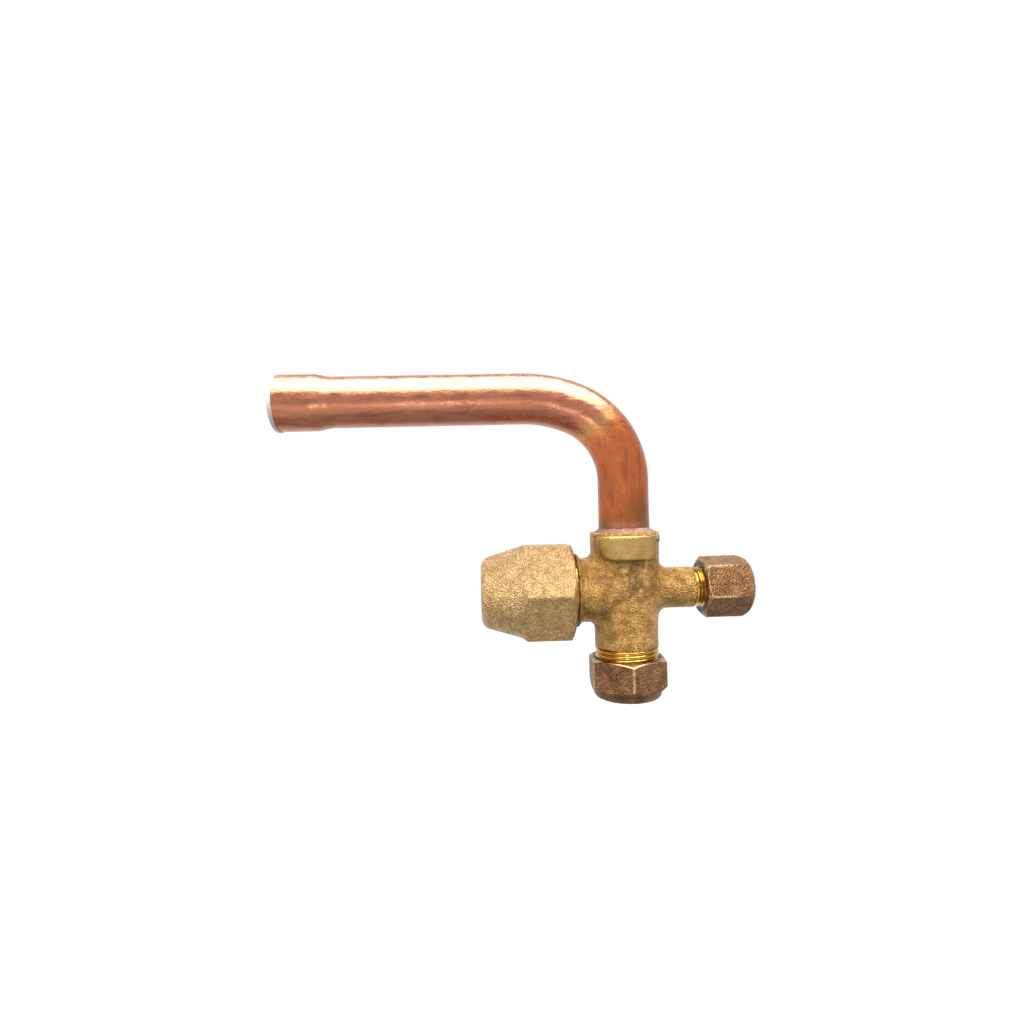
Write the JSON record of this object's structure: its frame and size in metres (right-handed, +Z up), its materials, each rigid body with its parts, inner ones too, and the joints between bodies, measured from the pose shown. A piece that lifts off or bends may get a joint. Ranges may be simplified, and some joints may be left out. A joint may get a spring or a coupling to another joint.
{
  "type": "refrigerant service valve",
  "caption": "Three-way refrigerant service valve: forged brass cross with flare nut, capped hex-key stem and charging port, brazed to a bent copper tube with a belled, plugged end.",
  "frame": {"origin": "centre of the bell mouth of the unit-side tube, on the tube's axis", "axes": "+X along the tube's horizontal leg towards the bend, +Z up along the tube's vertical leg away from the valve's stem; the flare nut points to -X, the charging port to +X and the stem to -Z"},
  "size_m": [0.1476, 0.0332, 0.104],
  "materials": {
    "forged_brass": "forged, grainy, machined at the ends",
    "nut_brass": "forged, fine grain",
    "cap_brass": "forged, dark oxide",
    "turned_brass": "turned, bright",
    "copper": "drawn, heat tinted near the braze",
    "braze": "rough, as brazed",
    "plug_plastic": "translucent, milky",
    "gasket_nylon": "smooth",
    "seal_rubber": "matte",
    "core_seal": "matte",
    "spring_steel": "bright"
  },
  "bodies": {
    "valve": {"valve_body": "forged_brass", "unit_tube": "copper", "braze_fillet": "braze", "stem_retaining_ring": "spring_steel", "core_plug": "turned_brass", "core_barrel": "turned_brass", "core_gasket": "core_seal", "core_spring": "spring_steel"},
    "dust_plug": {"tube_plug": "plug_plastic"},
    "bonnet": {"flare_bonnet": "turned_brass"},
    "nut": {"flare_nut": "nut_brass"},
    "stem_seal": {"stem_o_ring": "seal_rubber"},
    "stem": {"valve_stem": "turned_brass"},
    "stem_cap_seal": {"stem_cap_gasket": "gasket_nylon"},
    "stem_cap": {"stem_cap": "cap_brass"},
    "service_cap_seal": {"service_cap_gasket": "gasket_nylon"},
    "service_cap": {"service_cap": "cap_brass"},
    "pin": {"core_pin": "turned_brass", "core_seal_cup": "turned_brass", "core_pin_seal": "core_seal"}
  },
  "joints": [
    {"name": "dust_plug_pull", "type": "slide", "parent": "valve", "child": "dust_plug", "axis": [-1, 0, 0], "range_m": [0, 0.02]},
    {"name": "bonnet_travel", "type": "slide", "parent": "valve", "child": "bonnet", "axis": [-1, 0, 0], "range_m": [0, 0.01088]},
    {"name": "nut_turn", "type": "hinge", "parent": "bonnet", "child": "nut", "pos_m": [0.0769, 0, -0.0609], "axis": [-1, 0, 0], "range_deg": [0, 2160]},
    {"name": "stem_travel", "type": "slide", "parent": "valve", "child": "stem_seal", "axis": [0, 0, -1], "range_m": [0, 0.007]},
    {"name": "stem_turn", "type": "hinge", "parent": "stem_seal", "child": "stem", "pos_m": [0.1069, 0, -0.0709], "axis": [0, 0, -1], "range_deg": [0, 2520]},
    {"name": "stem_cap_travel", "type": "slide", "parent": "valve", "child": "stem_cap_seal", "axis": [0, 0, -1], "range_m": [0, 0.00875]},
    {"name": "stem_cap_turn", "type": "hinge", "parent": "stem_cap_seal", "child": "stem_cap", "pos_m": [0.1069, 0, -0.0909], "axis": [0, 0, -1], "range_deg": [0, 2520]},
    {"name": "service_cap_travel", "type": "slide", "parent": "valve", "child": "service_cap_seal", "axis": [1, 0, 0], "range_m": [0, 0.00889]},
    {"name": "service_cap_turn", "type": "hinge", "parent": "service_cap_seal", "child": "service_cap", "pos_m": [0.1389, 0, -0.0609], "axis": [1, 0, 0], "range_deg": [0, 2520]},
    {"name": "core_pin_press", "type": "slide", "parent": "valve", "child": "pin", "axis": [-1, 0, 0], "range_m": [0, 0.0012], "stiffness_N_per_m": 800, "springref_m": -0.001, "deforming": ["core_spring"]}
  ],
  "couplings": [
    {"joint": "nut_turn", "follows": "bonnet_travel", "rad_per_m": 3463.7},
    {"joint": "stem_turn", "follows": "stem_travel", "rad_per_m": 6283.2},
    {"joint": "stem_cap_turn", "follows": "stem_cap_travel", "rad_per_m": 5026.5},
    {"joint": "service_cap_turn", "follows": "service_cap_travel", "rad_per_m": 4947.4}
  ]
}
